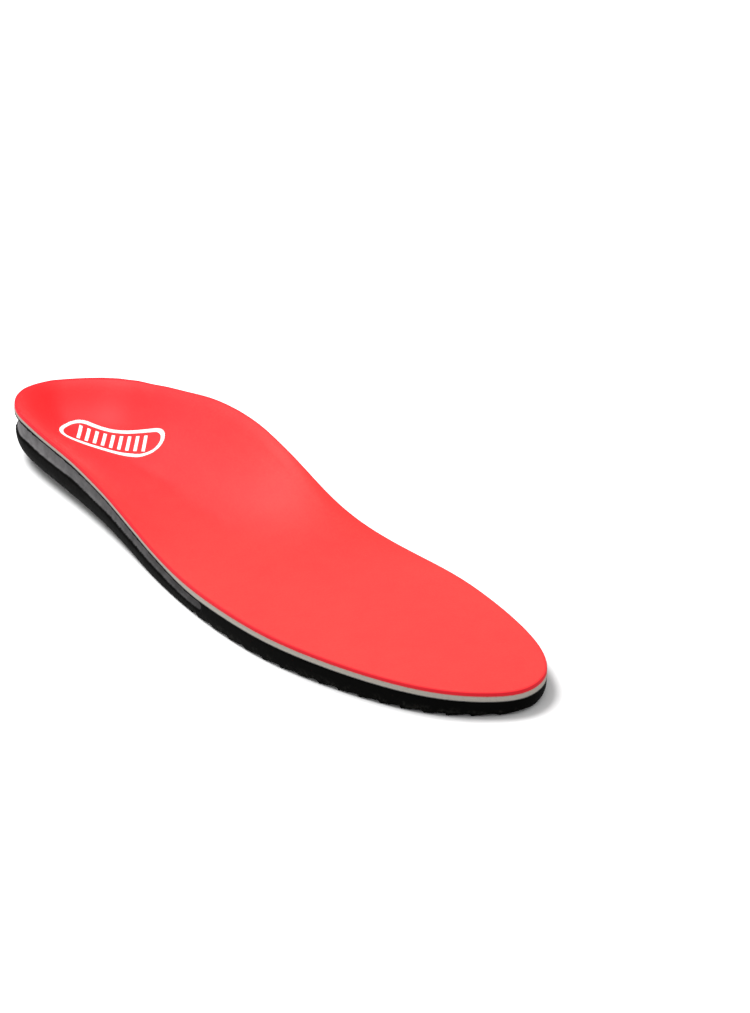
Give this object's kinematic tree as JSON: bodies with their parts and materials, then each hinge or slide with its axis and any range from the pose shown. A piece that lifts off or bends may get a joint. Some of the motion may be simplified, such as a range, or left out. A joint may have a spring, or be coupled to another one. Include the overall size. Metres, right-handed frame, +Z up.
{
  "type": "cushioned insole",
  "caption": "Cushioned shoe insole with a deep heel cup and raised inner arch: cloth cover over foam on a moulded black base with a cloth panel underneath.",
  "frame": {"origin": "on the floor, in the middle of the length and of the width", "axes": "+Z up, +Y from toe to heel, +X towards the inner (arch) side of a right foot"},
  "size_m": [0.0846, 0.2801, 0.0297],
  "materials": {
    "cover_cloth": "smooth brushed knit cloth, bright red",
    "panel_cloth": "matte red cloth with a faint mottle",
    "cushion_foam": "fine open-cell foam, warm light grey",
    "base_foam": "black compression-moulded foam with a fine satin skin",
    "shock_gel": "soft blue elastomer",
    "adhesive_web": "thin translucent hot-melt web",
    "print_ink": "white screen-printed ink"
  },
  "bodies": {
    "root": {"top_cover": "cover_cloth", "cover_adhesive_web": "adhesive_web", "cushion_foam": "cushion_foam", "foam_adhesive_web": "adhesive_web", "heel_shock_pad": "shock_gel", "forefoot_shock_pad": "shock_gel", "moulded_base": "base_foam", "underside_adhesive_web": "adhesive_web", "underside_panel": "panel_cloth", "heel_print": "print_ink"}
  },
  "joints": []
}
